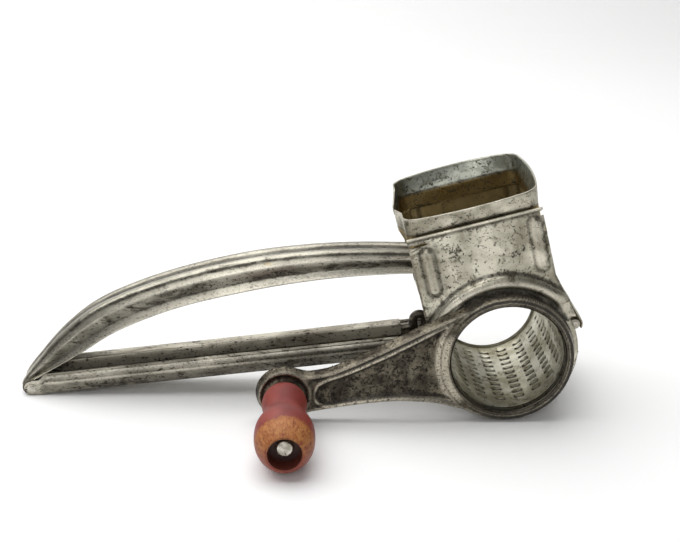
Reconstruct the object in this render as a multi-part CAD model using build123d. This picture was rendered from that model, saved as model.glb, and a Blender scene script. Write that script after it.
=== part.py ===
from build123d import *
from math import atan2, cos, degrees, hypot, radians, sin, sqrt
import os

os.makedirs("parts", exist_ok=True)

# Hand-cranked rotary shredder of tinned sheet steel, lying as it rests on a table.
# X runs along the handles (drum end at +X), Y runs back along the drum, Z is up.
# All pieces are built round the drum: X = 0 on the drum axis, Y = 0 halfway along
# the hopper, Z = 0 on the table.  The last lines move everything by drum_x, drum_y
# so that the origin is the bottom centre of the whole object.

# ------------------------------------------------------------------ sizes (mm)
sheet = 0.8               # tinned sheet of hopper, plates and cradle
handle_sheet = 1.0        # sheet of handles and crank
running_gap = 0.06        # shaft in bearing, on the radius
moving_gap = 0.4          # between pieces that move past each other

# drum
drum_axis_z = 28.8
drum_inner_r = 24.0
drum_sheet = 0.6
slot_rows = 11            # slots along the drum
slot_columns = 18         # columns of slots round the drum
slot_long = 4.6           # along the circumference
slot_wide = 1.5           # along the axis
slot_end = 0.7            # first slot from the bearing band
tooth_rise = 0.7          # how far the slot rims stand out
drum_lip = 1.2            # rolled lip at the far end

# hopper
hopper_tilt = 15.1        # leans toward the handles, degrees
mouth_height = 68.0       # rim above the drum axis, along the hopper
ledge_height = 60.5       # top of the stamped plates
mouth_left = -29.2
mouth_right = 26.0
mouth_half_depth = 26.8
mouth_corner_r = 5.0
band_bottom = 53.5        # lower edge of the mouth band on near and far side
flange_bottom = 21.3      # foot of the two left flanges
lever_slot_half = 10.4    # half width of the slot in the left wall
ear_bend_y = 16.5         # where the slot edges start to turn out
ear_turn = 21.0           # degrees the slot edges turn out
ear_height = 14.0
plate_gap = 0.4           # between the liner's sides and the end plates
knee_height = 30.0        # where the right wall bends out into the skirt
hem_along = 30.7          # hinge hem in hopper directions
hem_up = 5.4
hem_wire_r = 1.35
arch_r = 32.6             # stamped arch round the drum
arch_bead_r = 3.2
arch_from = 37.0
arch_to = 140.0
rib_height = 0.9
rib_left = -22.3
rib_right = 22.4
rib_width = 4.8
slit_long = 7.6
slit_high = 0.8
slit_up = 56.2

# cradle under the drum
cradle_out_r = 29.2
cradle_shift_x = 1.3
cradle_shift_z = 0.4
cradle_top_angle = 166.0
bearing_long = 3.6
bearing_wall = 0.9

# tail hinge and handles
tail_x = -202.3
knuckle_r = 3.4
tail_pin_r = 1.3
knuckle_half = 7.8
latch_eye_half = 2.6
latch_eye_r = 2.0
lower_slope = 6.65        # degrees
lower_half = 9.0
lower_wall = 8.6
lower_roll_r = 0.9
frame_rivet_r = 1.0
wrap_from = 150.0         # upper handle curls round the tail between these angles
wrap_to = 212.0
upper_half = 9.0
upper_end_x = 1.0
upper_rib_from = 2.4
upper_rib_to = 6.6
upper_rib_high = 0.6
upper_roll_r = 0.8

# presser in the hopper
presser_gap = 1.2         # from the tooth tips
presser_room_x = 3.6      # to the hopper's right wall
presser_room_y = 2.0      # to the hopper's near and far walls
presser_wall = 9.0
bracket_half = 8.0
presser_rivet_r = 1.0

# latch lever between the handles
latch_half = 2.8
latch_depth = 5.2
latch_left_x = -190.0
latch_right_x = -42.5
latch_left_z = 13.6       # top of the lever at its left end
latch_slope = 7.0
hook_r = 1.9
hook_up_x = -36.6
hook_down_x = -31.2
hook_top_z = 34.9
hook_tip_z = 27.6
hook_gap = 0.7            # round the hook in its lip hole

# crank
crank_x = -93.0           # knob axis from the drum axis
crank_z = 12.5
crank_room = 2.9          # back of the crank plate from the near plate
crank_thick = 4.0
crank_ring_r = 28.4
crank_disc_r = 12.0
crank_flare = 20.0        # slope of the pressed sides, degrees
panel_depth = 1.3

# knob
knob_long = 47.6
knob_max_r = 12.0
knob_base_r = 9.2
knob_neck_r = 8.4
knob_hole_r = 6.7
knob_hole_deep = 6.2
knob_pin_r = 2.1
knob_head_r = 3.5
knob_head_high = 1.9
knob_washer_r = 5.6
knob_washer_thick = 0.6

# ------------------------------------------------------- derived positions
plate_half = mouth_half_depth + plate_gap + sheet
crank_back_y = -plate_half - crank_room
crank_front_y = crank_back_y - crank_thick
drum_near_y = crank_back_y + 0.3
drum_far_y = plate_half + 0.6
slot_first_y = plate_half - sheet - bearing_long - slot_end
slot_pitch = 2 * slot_first_y / (slot_rows - 1)
presser_half = mouth_right - sheet - presser_room_x
presser_half_depth = mouth_half_depth - sheet - presser_room_y
drum_outer_r = drum_inner_r + drum_sheet
bearing_r = drum_outer_r + tooth_rise + 0.15
tail_z = knuckle_r
crank_angle = degrees(atan2(crank_z - drum_axis_z, crank_x))
crank_len = hypot(crank_x, crank_z - drum_axis_z)
hopper = Pos(0, 0, drum_axis_z) * Rot(0, -hopper_tilt, 0)
cradle_x = cradle_shift_x
cradle_z = drum_axis_z + cradle_shift_z


def hopper_point(along, up):
    """World X and Z of a point given in hopper directions."""
    t = radians(hopper_tilt)
    return along * cos(t) - up * sin(t), drum_axis_z + along * sin(t) + up * cos(t)


hem_x, hem_z = hopper_point(hem_along, hem_up)


# ------------------------------------------------------------ small helpers
def slab(face, y_from, y_to):
    """Push a flat X-Z outline out between two depths."""
    plane = Plane(origin=(0, y_to, 0), x_dir=(1, 0, 0), z_dir=(0, -1, 0))
    return extrude(plane * face, amount=y_to - y_from, dir=(0, -1, 0))


def disc(x, z, r, y_from, y_to):
    """Round bar along Y."""
    return slab(Pos(x, z) * Circle(r), y_from, y_to)


def tube(x, z, r_out, r_in, y_from, y_to):
    """Round tube along Y."""
    return slab(Pos(x, z) * (Circle(r_out) - Circle(r_in)), y_from, y_to)


def block(x0, x1, y0, y1, z0, z1):
    """Box given by its six faces."""
    return Pos((x0 + x1) / 2, (y0 + y1) / 2, (z0 + z1) / 2) * Box(x1 - x0, y1 - y0, z1 - z0)


def ring_sector(x, z, r_out, r_in, start, stop):
    """Flat ring between two angles, drawn in X-Z."""
    mid = (start + stop) / 2
    outer = ThreePointArc(*[(r_out * cos(radians(a)), r_out * sin(radians(a))) for a in (start, mid, stop)])
    inner = ThreePointArc(*[(r_in * cos(radians(a)), r_in * sin(radians(a))) for a in (stop, mid, start)])
    edge = outer + Line(outer @ 1, inner @ 0) + inner + Line(inner @ 1, outer @ 0)
    return Pos(x, z) * make_face(edge)


def both_sides(piece):
    """A piece and its mirror image on the other side of Y = 0."""
    return piece + mirror(piece, about=Plane.XZ)


# --------------------------------------------------------------- the hopper
def hopper_liner():
    """Inner sheet: mouth band, two left flanges, right wall, skirt and its curl."""
    wide = mouth_right - mouth_left
    deep = 2 * mouth_half_depth
    middle = (mouth_right + mouth_left) / 2
    outer = RectangleRounded(wide, deep, mouth_corner_r)
    inner = RectangleRounded(wide - 2 * sheet, deep - 2 * sheet, mouth_corner_r - sheet)
    wall = Pos(middle, 0, flange_bottom) * extrude(outer - inner, amount=mouth_height - flange_bottom)
    far = mouth_half_depth + 1
    wall -= block(mouth_left + mouth_corner_r, mouth_right - mouth_corner_r, -far, far, 0, band_bottom)
    wall -= block(mouth_right - mouth_corner_r - 1, mouth_right + 1, -far, far, 0, knee_height)
    wall -= block(mouth_left - 1, mouth_left + 2, -lever_slot_half, lever_slot_half, 0, mouth_height + 1)
    ear_foot = mouth_height - ear_height
    wall -= block(mouth_left - 1, mouth_left + 1, -ear_bend_y, ear_bend_y, ear_foot, mouth_height + 1)
    near_ear = Polygon((-ear_bend_y, ear_foot), (-lever_slot_half, ear_foot + 5),
                       (-lever_slot_half, mouth_height), (-ear_bend_y, mouth_height), align=None)
    far_ear = Polygon((ear_bend_y, ear_foot), (lever_slot_half, ear_foot + 5),
                      (lever_slot_half, mouth_height - 6), (ear_bend_y, mouth_height), align=None)
    side = Plane(origin=(mouth_left + sheet, 0, 0), x_dir=(0, 1, 0), z_dir=(1, 0, 0))
    for ear, turn in ((near_ear, 1), (far_ear, -1)):
        flat = extrude(side * ear, amount=sheet, dir=(-1, 0, 0))
        hinge = Pos(mouth_left + sheet, -turn * ear_bend_y, 0)
        wall += hinge * Rot(0, 0, turn * ear_turn) * Pos(-mouth_left - sheet, turn * ear_bend_y, 0) * flat
    roll = hem_wire_r + 2 * sheet + 0.1
    lean = degrees(atan2(hem_along + roll - mouth_right, knee_height - hem_up))
    start = (mouth_right - sheet / 2, knee_height)
    foot = (hem_along + roll * cos(radians(lean)), hem_up + roll * sin(radians(lean)))
    skirt = trace(Line(start, foot), line_width=sheet)
    curl = ring_sector(hem_along, hem_up, roll + sheet / 2, roll - sheet / 2, -46, lean + 4)
    wall += slab(skirt, -mouth_half_depth, mouth_half_depth)
    wall += slab(curl, -mouth_half_depth, mouth_half_depth)
    return hopper * wall


def plate_outline():
    """Hopper part of an end plate, in hopper directions."""
    return Polygon((mouth_left - 0.4, ledge_height), (mouth_right + 0.4, ledge_height),
                   (mouth_right + 0.8, knee_height), (hem_along + 1.4, hem_up + 4.2),
                   (hem_along - 3.6, hem_up - 2.0), (0, 0), (-25.6, 12.0),
                   (mouth_left - 0.4, flange_bottom), align=None)


def near_plate():
    """Stamped end plate with its hem, arch bead, two ribs, slit and drum hole."""
    out = -plate_half
    back = out + sheet
    plate = hopper * slab(plate_outline(), out, back)
    plate += disc(cradle_x, cradle_z, cradle_out_r, out, back)
    plate -= disc(0, drum_axis_z, bearing_r + running_gap, out - 1, back + 1)
    groove = ring_sector(0, 0, arch_r + arch_bead_r - sheet, arch_r - arch_bead_r + sheet, arch_from, arch_to)
    bead = Circle(arch_bead_r) - Circle(arch_bead_r - sheet)
    bead -= Pos(0, 2 * arch_bead_r) * Rectangle(4 * arch_bead_r, 4 * arch_bead_r)
    face = Plane(origin=(arch_r, back, 0), x_dir=(1, 0, 0), z_dir=(0, 0, 1)) * bead
    ridge = revolve(face, axis=Axis((0, 0, 0), (0, -1, 0)), revolution_arc=arch_to - arch_from)
    ridge = Rot(0, -arch_from, 0) * ridge
    cap = Sphere(arch_bead_r) - Sphere(arch_bead_r - sheet)
    cap -= Pos(0, 2 * arch_bead_r, 0) * Box(4 * arch_bead_r, 4 * arch_bead_r, 4 * arch_bead_r)
    plate -= hopper * slab(groove, out - 1, back + 1)
    plate += hopper * ridge
    for angle in (arch_from, arch_to):
        a = radians(angle)
        end = Pos(arch_r * cos(a), back, arch_r * sin(a)) * cap
        plate += hopper * end
    for middle, low, high in ((rib_left, 34, 54), (rib_right, 33.5, 57)):
        rib = SlotOverall(high - low, rib_width, rotation=90)
        rib = slab(Pos(middle, (low + high) / 2) * rib, out - rib_height, out)
        rib = fillet(rib.edges().group_by(Axis.Y)[0], rib_height * 0.7)
        plate += hopper * rib
    hem = Pos(0, out + 0.3, ledge_height) * Rot(0, 90, 0) * Cylinder(0.8, mouth_right - mouth_left)
    plate += hopper * Pos((mouth_right + mouth_left) / 2, 0, 0) * hem
    slit = block(mouth_left - 1, mouth_left + slit_long, out - 2, back + 0.1, slit_up, slit_up + slit_high)
    notch = block(mouth_right - 1.4, mouth_right + 2, out - 2, back + 0.1, slit_up, slit_up + 2)
    plate -= hopper * slit
    plate -= hopper * notch
    return plate


def far_plate():
    """The same stamping on the other side."""
    return mirror(near_plate(), about=Plane.XZ)


def bearing_rings():
    """Two short collars inside the end plates that the drum turns in."""
    inner = bearing_r + running_gap
    start = plate_half - sheet
    ring = tube(0, drum_axis_z, inner + bearing_wall, inner, -start, -start + bearing_long)
    return [ring, mirror(ring, about=Plane.XZ)]


def drum_cradle():
    """Half-round sheet under the drum, with the rolled hem and the latch lip."""
    hem_angle = degrees(atan2(hem_z - cradle_z, hem_x - cradle_x))
    inner = cradle_out_r - sheet
    half = plate_half - sheet
    bend = ring_sector(cradle_x, cradle_z, cradle_out_r, inner, cradle_top_angle - 360, hem_angle - 3)
    shell = slab(bend, -half, half)
    shell += tube(hem_x, hem_z, hem_wire_r + sheet, hem_wire_r, -mouth_half_depth, mouth_half_depth)
    lip_z = hook_tip_z + 1.2
    lip = block(hook_down_x - hook_r - hook_gap - 0.5, cradle_x - inner, -4.5, 4.5, lip_z, lip_z + sheet)
    lip -= disc(cradle_x, cradle_z, inner + 0.2, -6, 6)
    lip -= Pos(hook_down_x, 0, lip_z) * Cylinder(hook_r + hook_gap, 6)
    return shell + lip - [shank for spot, shank in frame_rivet_shanks()]


def hem_wire():
    """Wire inside the rolled hem that joins cradle and hopper."""
    return disc(hem_x, hem_z, hem_wire_r, -mouth_half_depth - 0.3, mouth_half_depth + 0.3)


# -------------------------------------------------------------- the handles
def frame_rivet_shanks():
    """Places and shanks of the four rivets between handle and cradle."""
    shanks = []
    for angle in (184.0, 191.0):
        for y in (-5.4, 5.4):
            spot = Pos(cradle_x, y, cradle_z) * Rot(0, -angle, 0) * Rot(0, 90, 0)
            shanks.append((spot, spot * Pos(0, 0, cradle_out_r + 0.1) * Cylinder(frame_rivet_r, 2.6)))
    return shanks


def lower_handle():
    """Open channel from the tail knuckles to a curved pad on the cradle."""
    reach = (cradle_x - tail_x) / cos(radians(lower_slope))
    bottom = -knuckle_r
    bar = block(0, reach, -lower_half, lower_half, bottom, bottom + handle_sheet)
    start = knuckle_r + 2.6
    wall = block(start, reach, -lower_half, -lower_half + handle_sheet, bottom, bottom + lower_wall)
    roll = Rot(0, 90, 0) * Cylinder(lower_roll_r, reach - start)
    wall += Pos((start + reach) / 2, -lower_half + 0.25, bottom + lower_wall) * roll
    bar += both_sides(wall)
    bar += block(16, reach, -1.3, 1.3, bottom, bottom + handle_sheet + 0.5)
    bar -= block(-9, knuckle_r + 0.6, -latch_eye_half - 0.5, latch_eye_half + 0.5, -9, 9)
    bar -= block(-9, knuckle_r + 1.8, knuckle_half, lower_half + 1, -9, 9)
    bar -= block(-9, knuckle_r + 1.8, -lower_half - 1, -knuckle_half, -9, 9)
    bar = Pos(tail_x, 0, tail_z) * Rot(0, -lower_slope, 0) * bar
    for side in (-1, 1):
        bar += disc(tail_x, tail_z, knuckle_r, *sorted((side * (latch_eye_half + 0.5), side * knuckle_half)))
    bar -= disc(tail_x, tail_z, tail_pin_r, -12, 12)
    bar -= disc(cradle_x, cradle_z, cradle_out_r + handle_sheet / 2, -12, 12)
    pad = ring_sector(cradle_x, cradle_z, cradle_out_r + handle_sheet, cradle_out_r, 182, 203)
    pad = slab(pad, -lower_half, lower_half) - [shank for spot, shank in frame_rivet_shanks()]
    return bar + pad


def tail_pin():
    """Hinge pin with two peened heads."""
    pin = disc(tail_x, tail_z, tail_pin_r, -upper_half - 0.1, upper_half + 0.1)
    for side in (-1, 1):
        ends = sorted((side * (upper_half + 0.1), side * (upper_half + 0.8)))
        pin += disc(tail_x, tail_z, tail_pin_r + 0.7, *ends)
    return pin


def upper_path():
    """Middle line of the upper handle's top sheet."""
    r = knuckle_r + 0.2 + handle_sheet / 2
    a = radians(wrap_from)
    start = (tail_x + r * cos(a), tail_z + r * sin(a))
    points = [start, (-200.6, 12.3), (-187.9, 27.1), (-170.9, 40.2), (-143.8, 51.6),
              (-112.6, 60.0), (-86.4, 64.0), (-60.0, 65.6), (-30.0, 65.2), (upper_end_x, 64.4)]
    return Spline(*points, tangents=[(sin(a), -cos(a)), (1, -0.03)])


def upper_edge():
    """Lower edge of the upper handle's sides, from the hopper end to the tail."""
    points = [(upper_end_x, 57.4), (-20.0, 58.4), (-44.3, 58.1), (-65.5, 56.6), (-86.6, 54.0), (-107.8, 50.0),
              (-129.3, 45.0), (-155.5, 36.4), (-172.2, 26.0), (-189.4, 11.8)]
    return Spline(*points)


def upper_handle():
    """Ribbed channel that arches from the tail hinge into the hopper."""
    path = upper_path()
    edge = upper_edge()
    inner = upper_half - handle_sheet
    handle = slab(trace(path, line_width=handle_sheet), -upper_half, upper_half)
    for side in (-1, 1):
        ends = sorted((side * upper_rib_from, side * upper_rib_to))
        handle += slab(trace(path, line_width=handle_sheet + 2 * upper_rib_high), *ends)
    ear = Line(edge @ 1, (tail_x + 3.2, tail_z + 2.4)) + Line((tail_x + 3.2, tail_z + 2.4), path @ 0)
    outline = make_face(path + Line(path @ 1, edge @ 0) + edge + ear)
    outline += Pos(tail_x, tail_z) * Circle(knuckle_r)
    lower_roll = trace(edge, line_width=2 * upper_roll_r)
    for side in (-1, 1):
        handle += slab(outline, *sorted((side * inner, side * upper_half)))
        handle += slab(lower_roll, *sorted((side * inner, side * (upper_half + upper_roll_r * 0.6))))
    wrap = ring_sector(tail_x, tail_z, knuckle_r + 0.2 + handle_sheet, knuckle_r + 0.2, wrap_from, wrap_to)
    low = lower_wall + lower_roll_r + moving_gap - knuckle_r
    lower_room = block(knuckle_r + 1.0, 60, -12, 12, -12, low)
    handle -= Pos(tail_x, 0, tail_z) * Rot(0, -lower_slope, 0) * lower_room
    handle -= disc(tail_x, tail_z, knuckle_r + 0.3, -inner, inner)
    handle -= disc(tail_x, tail_z, tail_pin_r + running_gap, -12, 12)
    for along, up in rivet_spots():
        x, z = hopper_point(along, up)
        handle -= disc(x, z, presser_rivet_r, -12, 12)
    return [handle, slab(wrap, -upper_half, upper_half)]


def rivet_spots():
    """Two cross rivets of the presser, in hopper directions."""
    return ((-4.6, 34.5), (4.6, 32.2))


# -------------------------------------------------------------- the presser
def presser_plate():
    """Saddle that fits over the drum, with turned-up walls."""
    low_r = drum_outer_r + tooth_rise + presser_gap
    top_r = low_r + handle_sheet
    edge_up = sqrt(low_r ** 2 - presser_half ** 2)
    outer = block(-presser_half, presser_half, -presser_half_depth, presser_half_depth, edge_up, edge_up + presser_wall)
    hill = slab(Circle(top_r), -presser_half_depth, presser_half_depth)
    hill = hill & block(-presser_half, presser_half, -99, 99, 0, 60)
    inner_x = presser_half - sheet
    inner_y = presser_half_depth - sheet
    tray = outer + hill - block(-inner_x, inner_x, -inner_y, inner_y, edge_up - 1, 60)
    plate = tray + slab(Circle(top_r), -presser_half_depth, presser_half_depth)
    plate -= slab(Circle(low_r), -99, 99)
    plate = plate & block(-presser_half, presser_half, -99, 99, edge_up, 60)
    return hopper * plate


def presser_bracket():
    """Small channel on the saddle's crest, riveted inside the upper handle."""
    top_r = drum_outer_r + tooth_rise + presser_gap + handle_sheet
    width = 7.0
    body = block(-bracket_half, bracket_half, -width, width, 24, 40)
    body -= block(-bracket_half - 1, bracket_half + 1, -width + handle_sheet, width - handle_sheet, top_r + handle_sheet, 60)
    body -= slab(Circle(top_r), -20, 20)
    body = hopper * body & block(-60, 60, -20, 20, 0, 62.8)
    for along, up in rivet_spots():
        x, z = hopper_point(along, up)
        body -= disc(x, z, presser_rivet_r, -12, 12)
    return body


def presser_rivets():
    """Cross rivets with low heads."""
    rivets = []
    for along, up in rivet_spots():
        x, z = hopper_point(along, up)
        rivet = disc(x, z, presser_rivet_r, -upper_half, upper_half)
        for side in (-1, 1):
            ends = sorted((side * upper_half, side * (upper_half + 0.7)))
            rivet += disc(x, z, presser_rivet_r + 0.5, *ends)
        rivets.append(rivet)
    return rivets


# --------------------------------------------------------------- the latch
def latch_lever():
    """Narrow folded lever between the handles, with its eye on the tail pin."""
    a = radians(latch_slope)
    top_left = latch_left_z
    long = (latch_right_x - latch_left_x) / cos(a)
    outer = block(0, long, -latch_half, latch_half, -latch_depth, 0)
    inner = block(-1, long + 1, -latch_half + sheet, latch_half - sheet, -latch_depth - 1, -sheet)
    bar = fillet(outer.edges().filter_by(Axis.X).group_by(Axis.Z)[-1], 0.7) - inner
    bar = Pos(latch_left_x, 0, top_left) * Rot(0, -latch_slope, 0) * bar
    neck = Polygon((tail_x - 1.2, tail_z + 1.6), (latch_left_x + 1, top_left), (latch_left_x + 8, top_left - 1.0),
                   (latch_left_x + 3, top_left - latch_depth + 0.4), (tail_x + 1.2, tail_z - 1.6), align=None)
    eye = slab(neck, -latch_half + sheet, latch_half - sheet)
    eye += disc(tail_x, tail_z, latch_eye_r, -latch_eye_half, latch_eye_half)
    bar += eye
    bar -= disc(tail_x, tail_z, tail_pin_r + running_gap, -12, 12)
    return bar


def latch_hook():
    """Round rod in the lever's end, humped over and turned down into the lip."""
    a = radians(latch_slope)
    exit_z = latch_left_z + (latch_right_x - latch_left_x) * sin(a) / cos(a) - sheet - hook_r
    bend = (hook_down_x - hook_up_x) / 2 - 0.05
    reach = 14.0
    run = FilletPolyline((hook_up_x - reach, exit_z - reach * sin(a)), (hook_up_x, exit_z), (hook_up_x, hook_top_z),
                         (hook_down_x, hook_top_z), (hook_down_x, hook_tip_z), radius=bend)
    path = Plane(origin=(0, 0, 0), x_dir=(1, 0, 0), z_dir=(0, -1, 0)) * run
    start = Plane(origin=path @ 0, z_dir=path % 0)
    return sweep(start * Circle(hook_r), path=path)


# --------------------------------------------------------------- the crank
def arm_face(grow):
    """Tapering arm outline between ring and end disc, drawn along the arm."""
    lower_edge = [(8.0, 26.6), (16.0, 23.6), (22.0, 20.3), (32.8, 15.3), (47.2, 11.8), (60.0, 10.5),
                  (72.0, 10.1), (crank_len, 10.2)]
    upper_edge = [(8.0, 27.0), (17.0, 25.0), (26.0, 22.6), (34.5, 20.0), (52.0, 14.2), (67.0, 9.9),
                  (77.0, 8.0), (crank_len, 8.6)]
    upper = Spline(*[(s, t + grow) for s, t in lower_edge])
    lower = Spline(*[(s, -t - grow) for s, t in reversed(upper_edge)])
    return make_face(upper + Line(upper @ 1, lower @ 0) + lower + Line(lower @ 1, upper @ 0))


def frustum(x, z, r_back, r_front, y_back, y_front):
    """Round boss along Y that narrows toward the front."""
    middle = Pos(x, (y_back + y_front) / 2, z) * Rot(90, 0, 0)
    return middle * Cone(r_back, r_front, y_back - y_front)


def crank_body(grow, y_back, y_front):
    """Ring, arm and end disc with flared sides, as one solid form."""
    shrink = (y_back - y_front) * sin(radians(crank_flare)) / cos(radians(crank_flare))
    turn = Rotation(0, 0, crank_angle)
    faces = []
    for y, more in ((y_back, grow), (y_front, grow - shrink)):
        plane = Plane(origin=(0, y, drum_axis_z), x_dir=(1, 0, 0), z_dir=(0, -1, 0))
        faces.append(plane * (turn * arm_face(more)))
    body = loft(faces, ruled=True)
    body += frustum(0, drum_axis_z, crank_ring_r + grow, crank_ring_r + grow - shrink, y_back, y_front)
    body += frustum(crank_x, crank_z, crank_disc_r + grow, crank_disc_r + grow - shrink, y_back, y_front)
    return body


def crank_arm():
    """Pressed plate: ring round the drum mouth, recessed arm and end disc."""
    body = crank_body(0, crank_back_y, crank_front_y)
    floor_y = crank_front_y + panel_depth + handle_sheet
    body -= crank_body(-handle_sheet - 0.6, crank_back_y + 0.01, floor_y)
    front = Plane(origin=(0, crank_front_y, drum_axis_z), x_dir=(1, 0, 0), z_dir=(0, -1, 0))
    turn = Rotation(0, 0, crank_angle)
    upper = Spline((27.0, 12.8), (38.5, 9.4), (47.0, 7.9), (56.0, 6.9), (68.0, 6.6), (77.0, 6.6))
    lower = Spline((77.0, -2.6), (66.0, -4.8), (57.4, -7.2), (48.6, -9.8), (35.5, -14.4), (25.4, -17.8))
    tip = ThreePointArc(upper @ 1, (81.4, 2.0), lower @ 0)
    root = ThreePointArc(lower @ 1, (30.0, -2.0), upper @ 0)
    body -= extrude(front * (turn * make_face(upper + tip + lower + root)), amount=-panel_depth)
    rim_r = crank_disc_r - 3.0
    body -= tube(crank_x, crank_z, rim_r, knob_washer_r + 1.0, crank_front_y, crank_front_y + 0.9)
    mouth = drum_inner_r + drum_sheet * 2
    body -= disc(0, drum_axis_z, mouth, crank_front_y - 1, crank_back_y + 1)
    body -= disc(crank_x, crank_z, knob_pin_r, crank_front_y - 1, crank_back_y + 1)
    return body


def grating_drum():
    """Open drum with rows of slots, a bearing band at each end and a rolled far lip."""
    body = tube(0, drum_axis_z, drum_outer_r, drum_inner_r, drum_near_y, drum_far_y)
    cutters = []
    for column in range(slot_columns):
        angle = 360.0 * column / slot_columns
        for row in range(slot_rows):
            y = slot_first_y - row * slot_pitch
            cut = Pos(0, y, drum_axis_z) * Rot(0, angle, 0) * Pos(drum_outer_r, 0, 0) * Box(4, slot_wide, slot_long)
            cutters.append(cut)
    body = body - cutters
    near_band = plate_half - sheet - bearing_long
    body += tube(0, drum_axis_z, bearing_r, drum_inner_r, drum_near_y, -near_band)
    body += tube(0, drum_axis_z, bearing_r, drum_inner_r, near_band, drum_far_y)
    lip = tube(0, drum_axis_z, bearing_r, drum_inner_r - drum_lip, drum_far_y, drum_far_y + 1.3)
    lip = fillet(lip.edges().filter_by(GeomType.CIRCLE), 0.4)
    return body + lip


def mouth_ring():
    """Rolled ring that joins the drum's near edge to the crank plate."""
    out = drum_inner_r + 1.2
    ring = tube(0, drum_axis_z, out, drum_inner_r, crank_front_y + 0.5, drum_near_y)
    return fillet(ring.edges().group_by(Axis.Y)[0], 0.4)


def knob_pin():
    """Rivet that carries the knob, headed inside the knob and behind the crank."""
    front = crank_front_y - knob_washer_thick - knob_long
    head_y = front + knob_hole_deep
    pin = disc(crank_x, crank_z, knob_pin_r, head_y, crank_back_y)
    head = disc(crank_x, crank_z, knob_head_r, head_y - knob_head_high, head_y)
    pin += fillet(head.edges().group_by(Axis.Y)[0], 0.9)
    pocket = crank_front_y + panel_depth + handle_sheet
    pin += disc(crank_x, crank_z, knob_pin_r + 1.2, pocket, pocket + 1.0)
    return pin


def pin_washer():
    """Washer between knob and crank disc."""
    y = crank_front_y
    return tube(crank_x, crank_z, knob_washer_r, knob_pin_r, y - knob_washer_thick, y)


def crank_knob():
    """Turned wooden knob with a counterbored end."""
    y0 = 0.15
    end = knob_long - 0.15
    profile = [(4.6, y0), (7.2, y0 + 1.2), (knob_base_r, y0 + 5.4), (knob_base_r - 0.2, y0 + 10.0),
               (knob_neck_r, y0 + 18.0), (9.3, y0 + 22.5), (11.4, y0 + 28.0), (knob_max_r, y0 + 34.5),
               (11.2, y0 + 41.0), (9.3, y0 + 45.2), (knob_hole_r + 0.9, end)]
    side = Spline(*profile)
    bore = knob_pin_r + running_gap
    floor = knob_long - knob_hole_deep - 0.1
    rest = Polyline(profile[-1], (knob_hole_r, end), (knob_hole_r, floor), (bore, floor), (bore, y0), profile[0])
    face = make_face(side + rest)
    turned = revolve(face, axis=Axis.Y)
    spot = Pos(crank_x, crank_front_y - knob_washer_thick, crank_z)
    return spot * Rot(180, 0, 0) * turned


def frame_rivets():
    """Four rivets through the handle's pad and the cradle's wall."""
    rivets = []
    for spot, shank in frame_rivet_shanks():
        head = spot * Pos(0, 0, cradle_out_r + handle_sheet + 0.35) * Cylinder(frame_rivet_r + 0.6, 0.7)
        rivets.append(shank + head)
    return rivets


# ---------------------------------------------------------------- hand over
nodes = {
    "hopper_liner": hopper_liner,
    "near_plate": near_plate,
    "far_plate": far_plate,
    "bearing_rings": bearing_rings,
    "drum_cradle": drum_cradle,
    "hem_wire": hem_wire,
    "lower_handle": lower_handle,
    "tail_pin": tail_pin,
    "upper_handle": upper_handle,
    "presser_plate": presser_plate,
    "presser_bracket": presser_bracket,
    "presser_rivets": presser_rivets,
    "latch_lever": latch_lever,
    "latch_hook": latch_hook,
    "crank_arm": crank_arm,
    "grating_drum": grating_drum,
    "mouth_ring": mouth_ring,
    "knob_pin": knob_pin,
    "pin_washer": pin_washer,
    "frame_rivets": frame_rivets,
    "crank_knob": crank_knob,
}

pieces = {}
low = [1e9, 1e9, 1e9]
high = [-1e9, -1e9, -1e9]
for name, make in nodes.items():
    made = make()
    pieces[name] = made if isinstance(made, list) else made.solids()
    for piece in pieces[name]:
        box = piece.bounding_box()
        low = [min(a, b) for a, b in zip(low, box.min)]
        high = [max(a, b) for a, b in zip(high, box.max)]
shift = Pos(-(low[0] + high[0]) / 2, -(low[1] + high[1]) / 2, -low[2])
for name, solids in pieces.items():
    solids = [shift * solid for solid in solids]
    shape = solids[0] if len(solids) == 1 else Compound(children=solids)
    export_step(shape, f"parts/{name}.step")
    print(f"{name:16s} solids {len(solids)} volume {shape.volume:9.1f}", all(s.is_valid for s in solids))
print("shift", [round(v, 3) for v in shift.position])
print("size", [round(b - a, 2) for a, b in zip(low, high)])
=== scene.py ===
# %% [markdown]
# # A hand-cranked rotary shredder of tinned sheet steel
# The CAD model is the frame: every piece here sits where the CAD says, in metres,
# and rides on one of its moving bodies.  This lesson dresses it: first the camera,
# the light and the table, then the finishes, then each pressed-sheet piece.

# %% Load the frame
import math
import bpy
import numpy as np
from mathutils import Matrix, Vector


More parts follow.
